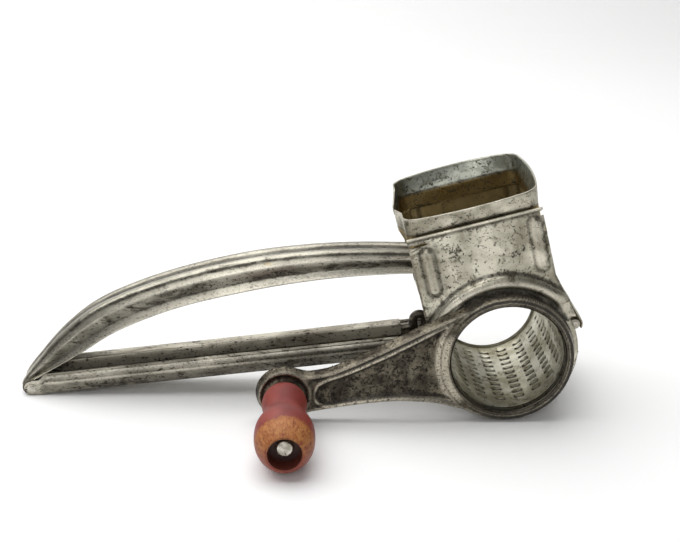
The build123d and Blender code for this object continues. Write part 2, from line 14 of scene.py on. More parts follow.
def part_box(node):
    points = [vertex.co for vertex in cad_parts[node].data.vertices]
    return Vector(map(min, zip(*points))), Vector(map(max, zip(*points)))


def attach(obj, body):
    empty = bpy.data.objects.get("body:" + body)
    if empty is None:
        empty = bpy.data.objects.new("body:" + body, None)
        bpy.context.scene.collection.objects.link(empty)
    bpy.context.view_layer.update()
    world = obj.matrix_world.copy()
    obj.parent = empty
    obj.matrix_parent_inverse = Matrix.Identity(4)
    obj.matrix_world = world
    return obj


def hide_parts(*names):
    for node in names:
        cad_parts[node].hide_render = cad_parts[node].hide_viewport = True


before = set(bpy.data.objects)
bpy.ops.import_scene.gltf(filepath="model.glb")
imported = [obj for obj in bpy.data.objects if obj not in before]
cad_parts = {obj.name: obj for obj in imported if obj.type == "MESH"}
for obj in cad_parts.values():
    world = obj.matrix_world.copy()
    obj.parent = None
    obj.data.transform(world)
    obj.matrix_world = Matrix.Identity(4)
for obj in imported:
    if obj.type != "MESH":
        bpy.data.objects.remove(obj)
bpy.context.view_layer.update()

# %% [markdown]
# ## Sizes
# The pieces are drawn in millimetres round the drum: X = 0 on the drum axis, Y = 0
# halfway along the hopper, Z = 0 on the table.  `placed` moves points from there into
# the frame, in metres.  The shift comes from the drum's own box.

# %% Sizes shared with the CAD
drum_low, drum_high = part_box("grating_drum")
hem_low, hem_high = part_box("hem_wire")
DRUM_Z = 28.8
SHIFT = np.array([(drum_low[0] + drum_high[0]) * 500, (hem_low[1] + hem_high[1]) * 500, 0.0])
TILT = math.radians(15.1)
PLATE_HALF = 28.0
SHEET = 0.8
MOUTH_LEFT, MOUTH_RIGHT, MOUTH_TOP, LEDGE = -29.2, 26.0, 68.0, 60.5
CRANK_FRONT = -34.9
CRANK_X, CRANK_Z = -93.0, 12.5
TAIL_X, TAIL_Z = -202.3, 3.4
print("shift", SHIFT.round(3))


def placed(points):
    """Drum millimetres to frame metres: add the shift and divide by a thousand."""
    return (np.asarray(points, float) + SHIFT) / 1000.0


def hopper_xz(along, up):
    """Hopper directions to X and Z: turn by the tilt, then lift by the drum height."""
    x = along * math.cos(TILT) - up * math.sin(TILT)
    z = DRUM_Z + along * math.sin(TILT) + up * math.cos(TILT)
    return x, z


def ease(value, start, stop):
    """Smooth step from 0 at start to 1 at stop: three t squared less two t cubed."""
    t = np.clip((value - start) / (stop - start), 0.0, 1.0)
    return t * t * (3.0 - 2.0 * t)


def bump(value, centre, half):
    """Round hill of height 1 at centre that falls to 0 at half either side."""
    t = np.clip(np.abs(value - centre) / half, 0.0, 1.0)
    return (1.0 - t * t) ** 2


# %% [markdown]
# ## Camera
# One camera fits all the measured points of the photograph: a 63.5 mm lens on a 36 mm
# sensor, 21 degrees above the table, almost square on to the crank side.

# %% Camera
right = Vector((0.998741, -0.044869, 0.022431))
upward = Vector((-0.004591, 0.363525, 0.931573))
ahead = Vector((0.049952, 0.930503, -0.362861))
camera = bpy.data.objects.new("camera", bpy.data.cameras.new("camera"))
bpy.context.scene.collection.objects.link(camera)
camera.data.sensor_width = 36.0
camera.data.lens = 1200.0 * 36.0 / 680.0
camera.data.clip_start = 0.01
turned = Matrix((right, upward, -ahead)).transposed().to_4x4()
turned.translation = placed((-95.089, -481.168, 243.065))
camera.matrix_world = turned
bpy.context.scene.camera = camera
bpy.context.scene.view_settings.view_transform = "Standard"
print("camera at", [round(v, 3) for v in camera.location])

# %% [markdown]
# ## Material helpers
# Colours are written as sRGB hex and turned to linear by one function.  One function
# adds a node, sets it and links it.  A link is (node, output name).


# %% Material helpers
def hue(code):
    """sRGB hex to linear RGBA: the standard curve, channel by channel."""
    srgb = np.array([int(code[i:i + 2], 16) for i in (1, 3, 5)]) / 255.0
    linear = np.where(srgb <= 0.04045, srgb / 12.92, ((srgb + 0.055) / 1.055) ** 2.4)
    return (*linear, 1.0)


def add(tree, kind, settings=None, **sockets):
    """Adds a node; settings are its properties, sockets its values or links."""
    made = tree.nodes.new(kind)
    for key, value in (settings or {}).items():
        setattr(made, key, value)
    for key, value in sockets.items():
        name = key.replace("_", " ")
        slot = made.inputs[int(key[1:])] if key[0] == "i" and key[1:].isdigit() else made.inputs[name]
        if isinstance(value, tuple) and hasattr(value[0], "outputs"):
            tree.links.new(value[0].outputs[value[1]], slot)
        else:
            slot.default_value = value
    return made


def ramp(tree, source, stops, smooth="LINEAR"):
    """Colour ramp through (place, hex) stops."""
    made = add(tree, "ShaderNodeValToRGB", i0=source)
    made.color_ramp.interpolation = smooth
    marks = made.color_ramp.elements
    while len(marks) < len(stops):
        marks.new(0.5)
    for mark, (place, code) in zip(marks, stops):
        mark.position = place
        mark.color = hue(code)
    return made


def speckle(tree, size_mm, detail=4.0, rough=0.6, stretch=(1.0, 1.0, 1.0), twist=0.0):
    """Noise with features of about size_mm, on Object coordinates."""
    where = add(tree, "ShaderNodeTexCoord")
    scale = tuple(s * 1000.0 / size_mm for s in stretch)
    mapped = add(tree, "ShaderNodeMapping", Vector=(where, "Object"), Scale=scale)
    return add(tree, "ShaderNodeTexNoise", Vector=(mapped, "Vector"), Scale=1.0, Detail=detail,
               Roughness=rough, Distortion=twist)


def maths(tree, operation, first, second=0.5, clamp=False):
    """Math node on two values or links."""
    return add(tree, "ShaderNodeMath", {"operation": operation, "use_clamp": clamp}, i0=first, i1=second)


def blend_colour(tree, factor, first, second, mode="MIX"):
    """Mix of two colours or links."""
    made = add(tree, "ShaderNodeMix", {"data_type": "RGBA", "blend_type": mode})
    for slot, value in ((made.inputs["Factor"], factor), (made.inputs[6], first), (made.inputs[7], second)):
        if isinstance(value, tuple) and hasattr(value[0], "outputs"):
            tree.links.new(value[0].outputs[value[1]], slot)
        else:
            slot.default_value = value
    return made


# %% [markdown]
# ## Tinned steel, old
# Tin is a soft pale metal.  After years it is dull, scratched, and where it has worn
# through, the steel below shows nearly black.  Pressed ridges stay bright because
# hands and cloths rub them; grooves keep dirt.  So each piece carries two numbers per
# point, `ridge` and `hollow`, and the material mixes bare metal, dark patches and dirt
# from those and from noise at three real sizes.  On several pieces `ridge` also marks
# painted highlights on edges that catch the light, and `hollow` marks painted shade on
# faces turned from it, mixed in the same dark colour as the dirt.


# %% Tinned steel material
def spread(tree, source, low, high, top=1.0, base=0.0):
    """Smooth step of a value: base below low, top above high."""
    made = add(tree, "ShaderNodeMapRange", {"interpolation_type": "SMOOTHSTEP"}, Value=source)
    for key, value in (("From Min", low), ("From Max", high), ("To Min", base), ("To Max", top)):
        made.inputs[key].default_value = value
    return made


def old_tin(name, bright, dull, stain="#5b5444", pit="#2b2620", stained=0.5, pitted=0.5, rough=0.33,
            patch_mm=14.0, metal=0.95, stretch=(1.0, 1.0, 1.0), shine="#efe9da", dirt_and_shade="#2c2820", worn=0.5):
    """Worn tinned sheet: clouds of bright and dull tin, brown stains, small dark pits, rubbed ridges with
    painted highlights, and dirty hollows in painted shade.  Typical values: metallic near 1, roughness 0.3 to
    0.5."""
    made = bpy.data.materials.new(name)
    made.use_nodes = True
    tree = made.node_tree
    shader = tree.nodes["Principled BSDF"]
    ridge = add(tree, "ShaderNodeAttribute", {"attribute_name": "ridge"})
    hollow = add(tree, "ShaderNodeAttribute", {"attribute_name": "hollow"})
    brown = add(tree, "ShaderNodeAttribute", {"attribute_name": "brown"})
    clouds = speckle(tree, patch_mm, 4.0, 0.55, stretch, 0.4)
    stains = speckle(tree, patch_mm * 0.42, 6.0, 0.66, stretch, 0.8)
    grains = speckle(tree, 0.85, 3.0, 0.6, tuple(0.4 + 0.6 * v for v in stretch))
    fine = speckle(tree, 0.3, 2.0, 0.6)
    skin = ramp(tree, (clouds, "Fac"), [(0.38, dull), (0.62, bright)])
    tarnish = spread(tree, (brown, "Fac"), 0.0, 1.0)
    skin = blend_colour(tree, (tarnish, "Result"), (skin, "Color"), hue("#a38f63"))
    shift = maths(tree, "SUBTRACT", (maths(tree, "MULTIPLY", (hollow, "Fac"), 0.10), "Value"),
                  (maths(tree, "MULTIPLY", (ridge, "Fac"), 0.10), "Value"))
    stain_at = maths(tree, "ADD", (stains, "Fac"), (shift, "Value"))
    stain_mask = spread(tree, (stain_at, "Value"), 0.62 - 0.16 * stained, 0.72 - 0.10 * stained, 0.75)
    skin = blend_colour(tree, (stain_mask, "Result"), (skin, 2), hue(stain))
    both = maths(tree, "ADD", (maths(tree, "MULTIPLY", (grains, "Fac"), 0.72), "Value"),
                 (maths(tree, "MULTIPLY", (stain_at, "Value"), 0.28), "Value"))
    pit_mask = spread(tree, (both, "Value"), 0.61 - 0.08 * pitted, 0.66 - 0.07 * pitted, 0.85)
    skin = blend_colour(tree, (pit_mask, "Result"), (skin, 2), hue(pit))
    # Glint: bright specks on ridges, from rubbed wear and as painted highlights; worn sets their strength.
    glint = maths(tree, "MULTIPLY", (spread(tree, (grains, "Fac"), 0.36, 0.52), "Result"), (ridge, "Fac"))
    glint = maths(tree, "MULTIPLY", (glint, "Value"), worn)
    skin = blend_colour(tree, (glint, "Value"), (skin, 2), hue(shine))
    # Darkening of the hollows: dirt, and painted shade where a face turns from the light.
    patchy = spread(tree, (stains, "Fac"), 0.30, 0.50, 0.95, 0.55)
    darkening = maths(tree, "MULTIPLY", (hollow, "Fac"), (patchy, "Result"), True)
    skin = blend_colour(tree, (darkening, "Value"), (skin, 2), hue(dirt_and_shade))
    tree.links.new(skin.outputs[2], shader.inputs["Base Color"])
    sheen = spread(tree, (clouds, "Fac"), 0.35, 0.65, rough - 0.06, rough + 0.08)
    uneven = maths(tree, "ADD", (sheen, "Result"),
                   (maths(tree, "MULTIPLY", (pit_mask, "Result"), 0.25), "Value"))
    tree.links.new(uneven.outputs["Value"], shader.inputs["Roughness"])
    metallic = spread(tree, (darkening, "Value"), 0.1, 0.9, 0.25, metal)
    tree.links.new(metallic.outputs["Result"], shader.inputs["Metallic"])
    relief = maths(tree, "SUBTRACT", (maths(tree, "MULTIPLY", (fine, "Fac"), 0.35), "Value"),
                   (maths(tree, "MULTIPLY", (pit_mask, "Result"), 0.45), "Value"))
    relief = maths(tree, "ADD", (relief, "Value"), (maths(tree, "MULTIPLY", (stains, "Fac"), 0.6), "Value"))
    dents = add(tree, "ShaderNodeBump", Strength=0.30, Distance=0.0004, Height=(relief, "Value"))
    tree.links.new(dents.outputs["Normal"], shader.inputs["Normal"])
    return made


# Streaks that run along a handle: noise drawn out to about three times its width.
LONGWAYS = (0.35, 1.0, 1.0)
# Stamped tinplate of the hopper: the palest sheet, clouded, with brown stains and dark pits.
tin_body = old_tin("tinned sheet, pale and stained", "#cfcab9", "#969180", "#5a5342", stained=0.62,
                   pitted=0.72)
# Tinplate inside the mouth: cooler, greyer and lighter than the walls below, a painted reflection of the sky
# on the flared band.
tin_rim = old_tin("tinned rim, bluish inside", "#b4b6aa", "#8f9288", "#5c594c", stained=0.6,
                  pitted=0.6, patch_mm=10.0)
# Bent tinplate rubbed by the hand: streaks along the handle, bright ribs, darker flats; the brightness of the
# ribs and the flange is partly painted highlight.
tin_handle = old_tin("tinned handle, rubbed", "#b1ad9e", "#6f6b5f", "#453f35", stained=0.70,
                     pitted=0.80, rough=0.34, stretch=LONGWAYS, patch_mm=12.0)
# Tinplate inside the hopper: an olive film, duller and less like bare metal, with its darker tone painted
# shade of the inner walls.
tin_inside = old_tin("tin inside the hopper, olive brown", "#b39f72", "#8f7d54", "#61553a",
                     stained=0.45, pitted=0.25, rough=0.45, metal=0.75)
# Pierced tinplate of the drum: matt and creamy, with nearly black painted shade in each slot.
tin_drum = old_tin("tinned drum, pierced", "#d3d0bf", "#a9a48c", "#7d7154", stained=0.55,
                   pitted=0.35, rough=0.46, metal=0.8, dirt_and_shade="#15120e")
# Folded tinplate of the lower bar: the darkest tin, streaked along its length.
tin_bar = old_tin("tinned bar, darkened", "#b0ab9c", "#757064", "#433d33", stained=0.68,
                  pitted=0.80, rough=0.36, stretch=LONGWAYS, patch_mm=9.0)
# Folded tinplate of the latch: paler and more matt than the bar below it, painted light for a side that lies
# in shade.
tin_latch = old_tin("tinned latch bar", "#d4cebd", "#9f9888", "#554e40", stained=0.55,
                    pitted=0.65, rough=0.46, metal=0.75, stretch=LONGWAYS, patch_mm=9.0)
# Pressed steel of the crank: brown-black where the tin is gone, bright only on its ridges, rubbed there and,
# on the ring, with painted highlights.
steel_dark = old_tin("crank steel, tin worn away", "#787162", "#474138", "#302b25", "#1d1a17",
                     stained=0.85, pitted=1.05, rough=0.40, patch_mm=7.0, worn=0.9, shine="#d8d0bd")
# Drawn wire: even, dull and dark, in small patches because the wire is thin.
steel_wire = old_tin("drawn wire, dull", "#7d776b", "#55504a", "#3a362f", stained=0.6, pitted=0.5,
                     patch_mm=4.0)
# Rivet and pin heads: pale, because they stand proud and are rubbed.
pin_metal = old_tin("pin head, bright", "#d2cec2", "#a39d90", "#6e675a", stained=0.4, pitted=0.3,
                    patch_mm=4.0)
print("steel finishes made")

# %% [markdown]
# ## Red wooden knob
# Turned wood, dipped in red paint.  The hand has worn the paint off the widest part
# round the open end, so bare orange-brown wood shows there in a ragged band.  Paint is
# a dielectric with a soft gloss; bare wood is rougher.


# %% Red paint over wood
def painted_knob(end_y, centre):
    """Paint that gives way to wood in a band behind the open end at end_y; the bore round centre is dark."""
    made = bpy.data.materials.new("red paint worn to wood")
    made.use_nodes = True
    tree = made.node_tree
    shader = tree.nodes["Principled BSDF"]
    where = add(tree, "ShaderNodeTexCoord")
    axes = add(tree, "ShaderNodeSeparateXYZ", Vector=(where, "Object"))
    back = maths(tree, "SUBTRACT", (axes, "Y"), end_y)
    mm = maths(tree, "MULTIPLY", (back, "Value"), 1000.0)
    ragged = speckle(tree, 1.2, 5.0, 0.75, (1.0, 0.30, 1.0), 0.5)
    broad = speckle(tree, 9.0, 3.0, 0.5)
    wander = maths(tree, "ADD", (maths(tree, "MULTIPLY", (ragged, "Fac"), 15.0), "Value"),
                   (maths(tree, "MULTIPLY", (broad, "Fac"), 6.0), "Value"))
    depth = maths(tree, "ADD", (mm, "Value"), (wander, "Value"))
    inner = spread(tree, (depth, "Value"), 18.6, 19.6, 0.0, 1.0)
    outer = spread(tree, (depth, "Value"), 8.5, 10.5)
    upper = spread(tree, (axes, "Z"), 0.007, 0.018, 1.0, 0.15)
    bare = maths(tree, "MULTIPLY", (inner, "Result"), (outer, "Result"))
    bare = maths(tree, "MULTIPLY", (bare, "Value"), (upper, "Result"))
    paint = ramp(tree, (broad, "Fac"), [(0.35, "#782b25"), (0.65, "#923a31")])
    wood = ramp(tree, (ragged, "Fac"), [(0.34, "#6e2f1e"), (0.47, "#a3602f"), (0.66, "#bd8549")])
    coat = blend_colour(tree, (bare, "Value"), (paint, "Color"), (wood, "Color"))
    darkening = speckle(tree, 2.2, 4.0, 0.7)
    spots = spread(tree, (darkening, "Fac"), 0.60, 0.70, 0.5)
    coat = blend_colour(tree, (spots, "Result"), (coat, 2), hue("#4a1a15"))
    off_x = maths(tree, "SUBTRACT", (axes, "X"), centre[0])
    off_z = maths(tree, "SUBTRACT", (axes, "Z"), centre[1])
    square = maths(tree, "ADD", (maths(tree, "MULTIPLY", (off_x, "Value"), (off_x, "Value")), "Value"),
                   (maths(tree, "MULTIPLY", (off_z, "Value"), (off_z, "Value")), "Value"))
    radius = maths(tree, "SQRT", (square, "Value"))
    bore = spread(tree, (radius, "Value"), 0.0064, 0.0071, 0.0, 0.93)
    coat = blend_colour(tree, (bore, "Result"), (coat, 2), hue("#2a120c"))
    tree.links.new(coat.outputs[2], shader.inputs["Base Color"])
    gloss = add(tree, "ShaderNodeMapRange", Value=(bare, "Value"))
    gloss.inputs["To Min"].default_value = 0.46
    gloss.inputs["To Max"].default_value = 0.6
    tree.links.new(gloss.outputs["Result"], shader.inputs["Roughness"])
    shader.inputs["IOR"].default_value = 1.5
    skin = add(tree, "ShaderNodeBump", Strength=0.3, Distance=0.0003, Height=(ragged, "Fac"))
    tree.links.new(skin.outputs["Normal"], shader.inputs["Normal"])
    return made


knob_low, knob_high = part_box("crank_knob")
red_paint = painted_knob(knob_low[1], ((knob_low[0] + knob_high[0]) / 2, (knob_low[2] + knob_high[2]) / 2))
print("knob", [round(float(v) * 1000, 1) for v in knob_high - knob_low])

# %% [markdown]
# ## Table and light
# The tool stands on a white sheet that curves up behind.  A sweep of one
# profile makes floor and backdrop.  The floor is pale grey to the light and white to
# the camera, so it keeps a soft shadow.  A large lamp above and a little behind lights
# the upper faces; the world gives the rest, darker on the camera's side, so that bent
# metal gets dark and bright streaks.


# %% Floor and backdrop
def grid_mesh(name, points, faces):
    """Mesh object from an array of points in metres and an array of quads."""
    mesh = bpy.data.meshes.new(name)
    mesh.from_pydata(points, [], faces)
    mesh.validate()
    made = bpy.data.objects.new(name, mesh)
    bpy.context.scene.collection.objects.link(made)
    return made


def quads(rows, columns, wrap=False):
    """Corner numbers of the quads of a rows by columns grid; wrap closes the columns."""
    r = np.arange(rows - 1)[:, None]
    c = np.arange(columns if wrap else columns - 1)[None, :]
    n = (c + 1) % columns
    corners = [r * columns + c, r * columns + n, (r + 1) * columns + n, (r + 1) * columns + c]
    return np.stack(corners, -1).reshape(-1, 4)


angle = np.linspace(0.0, np.pi / 2, 24)
bend_y = np.concatenate([[-3.0, 0.35], 0.75 + 0.9 * np.sin(angle), [1.65]])
bend_z = np.concatenate([[0.0, 0.0], 0.9 - 0.9 * np.cos(angle), [4.0]])
side_x = np.linspace(-4.0, 4.0, 5)
sweep = np.stack([np.repeat(side_x[None, :], len(bend_y), 0), np.repeat(bend_y[:, None], 5, 1),
                  np.repeat(bend_z[:, None], 5, 1)], -1).reshape(-1, 3)
floor = grid_mesh("white_sweep", sweep, quads(len(bend_y), 5))
paper = bpy.data.materials.new("white paper sweep")
paper.use_nodes = True
sheet = paper.node_tree
seen = add(sheet, "ShaderNodeLightPath")
straight = maths(sheet, "ADD", (seen, "Is Camera Ray"), (seen, "Is Glossy Ray"), True)
straight = maths(sheet, "ADD", (straight, "Value"), (seen, "Is Transmission Ray"), True)
white = blend_colour(sheet, (straight, "Value"), hue("#c9c9c4"), (1.0, 1.0, 1.0, 1.0))
sheet.links.new(white.outputs[2], sheet.nodes["Principled BSDF"].inputs["Base Color"])
sheet.nodes["Principled BSDF"].inputs["Roughness"].default_value = 0.9
sheet.nodes["Principled BSDF"].inputs["Specular IOR Level"].default_value = 0.0
floor.data.materials.append(paper)
print("sweep made")


# %% Lamps and world
def lamp(name, place, aim, size, watts):
    """Square soft lamp at place, turned to aim."""
    light = bpy.data.lights.new(name, "AREA")
    light.size = size
    light.energy = watts
    made = bpy.data.objects.new(name, light)
    bpy.context.scene.collection.objects.link(made)
    made.location = place
    made.rotation_mode = "QUATERNION"
    made.rotation_quaternion = (Vector(aim) - Vector(place)).to_track_quat("-Z", "Y")
    return made


lamp("window", (-0.35, 0.35, 1.2), (0.0, 0.0, 0.03), 1.9, 24.0)
lamp("fill", (-0.3, -1.3, 0.75), (0.0, 0.0, 0.03), 0.9, 5.5)
world = bpy.data.worlds.new("studio")
bpy.context.scene.world = world
world.use_nodes = True
sky = world.node_tree
around = add(sky, "ShaderNodeTexCoord")
split = add(sky, "ShaderNodeSeparateXYZ", Vector=(around, "Generated"))
front = maths(sky, "MULTIPLY_ADD", (split, "Y"), 0.5)
front.inputs[2].default_value = 0.5
level = ramp(sky, (front, "Value"), [(0.12, "#4a4a4a"), (0.42, "#8c8c8c"), (0.62, "#ffffff")])
ray = add(sky, "ShaderNodeLightPath")
open_view = maths(sky, "ADD", (ray, "Is Camera Ray"), (ray, "Is Transmission Ray"), True)
tone = blend_colour(sky, (open_view, "Value"), (level, "Color"), (1.0, 1.0, 1.0, 1.0))
sky.links.new(tone.outputs[2], sky.nodes["Background"].inputs["Color"])
sky.nodes["Background"].inputs["Strength"].default_value = 0.75
print("two lamps and a graded world")


# %% [markdown]
# ## Pressed sheet as a relief
# The crank plate and the two end plates are flat blanks pressed in a die.  Each is a
# height over a flat grid: the height and the outline are functions of two coordinates.
# Grid points just outside the outline are pulled onto it along the steepest way back,
# so the edge is clean, and a Solidify modifier gives the sheet its thickness.


# %% Relief sheets
def distance_to_loop(px, py, loop):
    """Signed distance to a closed polyline, negative inside: nearest point over all
    edges, with the sign from counting crossings of a ray."""
    a = loop
    b = np.roll(loop, -1, 0)
    best = np.full(px.shape, 1e9)
    inside = np.zeros(px.shape, bool)
    for (ax, ay), (bx, by) in zip(a, b):
        ex, ey = bx - ax, by - ay
        t = np.clip(((px - ax) * ex + (py - ay) * ey) / (ex * ex + ey * ey + 1e-12), 0, 1)
        best = np.minimum(best, np.hypot(px - ax - t * ex, py - ay - t * ey))
        crosses = ((ay > py) != (by > py)) & (px < (bx - ax) * (py - ay) / (by - ay + 1e-12) + ax)
        inside ^= crosses
    return np.where(inside, -best, best)


def curve_through(points, count=12):
    """Smooth line through the points: Catmull-Rom, count steps per span."""
    p = np.asarray(points, float)
    ends = np.vstack([2 * p[0] - p[1], p, 2 * p[-1] - p[-2]])
    t = np.linspace(0, 1, count, endpoint=False)[None, :, None]
    a, b, c, d = (ends[i:len(ends) - 3 + i, None, :] for i in range(4))
    second = (2 * a - 5 * b + 4 * c - d) * t ** 2
    third = (3 * b - 3 * c + d - a) * t ** 3
    line = 0.5 * (2 * b + (c - a) * t + second + third)
    return np.vstack([line.reshape(-1, p.shape[1]), p[-1]])


def relief_sheet(name, body, us, vs, outline, shape, thick, material, node, inner=None):
    """Pressed sheet.  outline(u, v) is the signed distance to the blank's edge; shape(u, v)
    gives points (n, 3) in drum millimetres with the ridge and hollow numbers."""
    u, v = np.meshgrid(us, vs, indexing="ij")
    pitch = us[1] - us[0]
    d = outline(u, v)
    keep = (d[:-1, :-1] < 0) | (d[1:, :-1] < 0) | (d[:-1, 1:] < 0) | (d[1:, 1:] < 0)
    for _ in range(3):
        out = d > -0.12 * pitch
        du = (outline(u + 0.02, v) - outline(u - 0.02, v)) / 0.04
        dv = (outline(u, v + 0.02) - outline(u, v - 0.02)) / 0.04
        near = out & (d < 1.6 * pitch)
        u = np.where(near, u - du * d, u)
        v = np.where(near, v - dv * d, v)
        d = outline(u, v)
    points, ridge, hollow = shape(u.ravel(), v.ravel(), d.ravel())
    all_quads = quads(len(us), len(vs))[keep.ravel()]
    used = np.unique(all_quads)
    lookup = np.zeros(u.size, int)
    lookup[used] = np.arange(len(used))
    made = grid_mesh(name, placed(points[used]), lookup[all_quads])
    return finish_sheet(made, body, thick, material, node, ridge[used], hollow[used], 0.0, inner)


def finish_sheet(made, body, thick, material, node, ridge, hollow, brown=0.0, inner=None):
    """Writes ridge, hollow and brown, adds thickness inward with its own inner finish, then attaches the body
    and hides the CAD node that the piece stands for."""
    mesh = made.data
    count = len(mesh.vertices)
    for key, values in (("ridge", ridge), ("hollow", hollow), ("brown", brown)):
        flat = np.clip(np.broadcast_to(np.ravel(values) if np.ndim(values) else values, count), 0, 1)
        mesh.attributes.new(key, "FLOAT", "POINT").data.foreach_set("value", flat.astype(np.float32))
    mesh.shade_smooth()
    mesh.materials.append(material)
    if inner:
        mesh.materials.append(inner)
    if thick:
        wall = made.modifiers.new("sheet", "SOLIDIFY")
        wall.thickness = thick / 1000.0
        wall.offset = -1.0
        wall.material_offset = 1 if inner else 0
    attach(made, body)
    if node:
        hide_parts(node)
    print(made.name, len(mesh.polygons), "faces")
    return made


# %% [markdown]
# ## Crank plate
# One blank: a ring round the drum mouth, an arm that tapers to a small disc.  Its edge
# is turned back, a ridge and a groove follow it, and the arm's middle is pressed in.
# The ring carries a half-round bead.

# %% Crank plate
ARM = math.atan2(CRANK_Z - DRUM_Z, CRANK_X)
ARM_LONG = math.hypot(CRANK_X, CRANK_Z - DRUM_Z)
lower_edge = curve_through([(8.0, 26.6), (16.0, 23.6), (22.0, 20.3), (32.8, 15.3), (47.2, 11.8), (60.0, 10.5),
                            (72.0, 10.1), (ARM_LONG, 10.2)], 6)
upper_edge = curve_through([(8.0, -27.0), (17.0, -25.0), (26.0, -22.6), (34.5, -20.0), (52.0, -14.2),
                            (67.0, -9.9), (77.0, -8.0), (ARM_LONG, -8.6)], 6)
panel_low = curve_through([(24.0, 14.2), (30.0, 11.8), (38.5, 9.4), (47.0, 7.9), (56.0, 6.9), (68.0, 6.5),
                           (75.5, 6.9), (79.8, 5.4), (81.3, 2.2), (79.6, -1.4)], 6)
panel_high = curve_through([(79.6, -1.4), (75.0, -3.1), (66.0, -4.8), (57.4, -7.2), (48.6, -9.8),
                            (35.5, -14.4), (24.4, -18.6)], 6)
arm_loop = np.vstack([lower_edge, upper_edge[::-1]])
panel_loop = np.vstack([panel_low, panel_high[1:]])
RING_R, DISC_R, HOLE_R = 28.4, 12.0, 25.2
EDGE_DROP, PANEL_DEEP = 3.95, 1.35
BEAD_R, BEAD_HALF, BEAD_HIGH = 26.7, 1.9, 0.95
GROOVE_R = 26.5
CRANK_PITCH = 0.45


def soft_min(a, b, width=2.0):
    """Smallest of two distances with a rounded joint of the given width."""
    h = np.clip(0.5 + 0.5 * (b - a) / width, 0, 1)
    return b * (1 - h) + a * h - width * h * (1 - h)


def crank_outline(s, t):
    """Ring, arm and disc joined, less the drum hole."""
    ring = np.hypot(s, t) - RING_R
    disc = np.hypot(s - ARM_LONG, t) - DISC_R
    arm = distance_to_loop(s, t, arm_loop)
    return np.maximum(soft_min(soft_min(ring, arm, 2.0), disc, 3.0), HOLE_R - np.hypot(s, t))


def crank_shape(s, t, d):
    """Height from the front plane: turned-back edge, ridge, groove, inner ridge, pressed
    panel, ring bead and the disc's two rings, each a smooth function of a distance."""
    r = np.hypot(s, t)
    q = np.hypot(s - ARM_LONG, t)
    ring = r - RING_R
    disc = q - DISC_R
    arm = distance_to_loop(s, t, arm_loop)
    edge = -soft_min(soft_min(ring, arm, 2.0), disc, 3.0)
    panel = distance_to_loop(s, t, panel_loop)
    on_ring = ease(r, 30.6, 28.6)
    on_disc = ease(q, 13.5, 11.5)
    arm_part = (1 - on_ring) * (1 - on_disc)
    back = -EDGE_DROP * (1 - ease(edge, 0.0, 1.5)) ** 1.4
    rim = 0.25 * bump(edge, 1.7, 0.9) - 0.75 * bump(edge, 3.1, 1.0) * arm_part
    pressed = -PANEL_DEEP * ease(panel, 0.7, -0.9) * arm_part + 0.35 * bump(panel, 1.2, 1.2) * arm_part
    half_round = np.sqrt(np.clip(1 - ((r - BEAD_R) / BEAD_HALF) ** 2, 0, 1))
    bead = on_ring * (BEAD_HIGH * half_round - 1.0 - 0.35 * bump(r, GROOVE_R, 0.6))
    end = on_disc * (-0.45 * bump(q, 8.6, 1.6) + 0.2 * bump(q, 10.6, 1.2) + 0.15 * bump(q, 6.6, 1.0))
    height = back + rim * (1 - on_disc) + pressed + bead + end
    x = s * math.cos(ARM) - t * math.sin(ARM)
    z = DRUM_Z + s * math.sin(ARM) + t * math.cos(ARM)
    ridge = np.maximum(bump(edge, 1.7, 0.8) * 0.6, bump(panel, 1.3, 1.0) * arm_part)
    ridge = np.maximum(ridge, on_disc * np.maximum(0.4 * bump(q, 10.4, 1.0), 0.9 * bump(q, 6.2, 0.9)))
    ridge = np.maximum(ridge, 0.8 * bump(r, 29.6, 1.6) * ease(s, 18.0, 26.0) * (1 - on_disc))
    ridge *= 1 - on_ring * ease(s, 16.0, 8.0)
    crescent = ease(r, 31.5, 29.5) * ease(s, 17.0, 23.0) * ease(np.abs(t), 17.0, 12.0)
    ridge = np.maximum(ridge, 0.75 * crescent)
    hollow = np.maximum(0.9 * bump(edge, 3.1, 0.8) * arm_part, 0.7 * bump(panel, -0.4, 0.9) * arm_part)
    hollow = np.maximum(hollow, 0.28 * ease(panel, -0.4, -1.6) * arm_part * ease(s, 26.0, 42.0))
    hollow = np.maximum(hollow, on_disc * bump(q, 8.6, 1.3) * 0.3)
    # Away from the arm the ring is darker, and its two ridges carry bright lines that are painted highlights.
    away = ease(s, 22.0, 8.0)
    hollow = np.maximum(hollow, on_ring * away * (0.72 + 0.25 * bump(r, GROOVE_R, 0.7)))
    highlight_lines = bump(r, 27.5, 0.45) + 0.8 * bump(r, 25.7, 0.4)
    ridge = np.maximum(ridge, 0.9 * away * highlight_lines)
    hollow = hollow - 0.6 * away * on_ring * highlight_lines
    return np.stack([x, CRANK_FRONT - height, z], -1), ridge, hollow


crank_us = np.arange(-29.2, 107.4, CRANK_PITCH)
crank_vs = np.arange(-29.2, 29.3, CRANK_PITCH)
crank_plate = relief_sheet("crank_plate", "crank", crank_us, crank_vs, crank_outline, crank_shape, SHEET,
                           steel_dark, "crank_arm")
crank_plate.data.flip_normals()

# %% [markdown]
# ## End plates
# Each end plate has a folded hem along its ledge, an arch pressed round the drum, two
# ribs, a pressed panel between them and a slit at the left.  A painted highlight runs
# along the top of the hem and the crest of the arch bead.

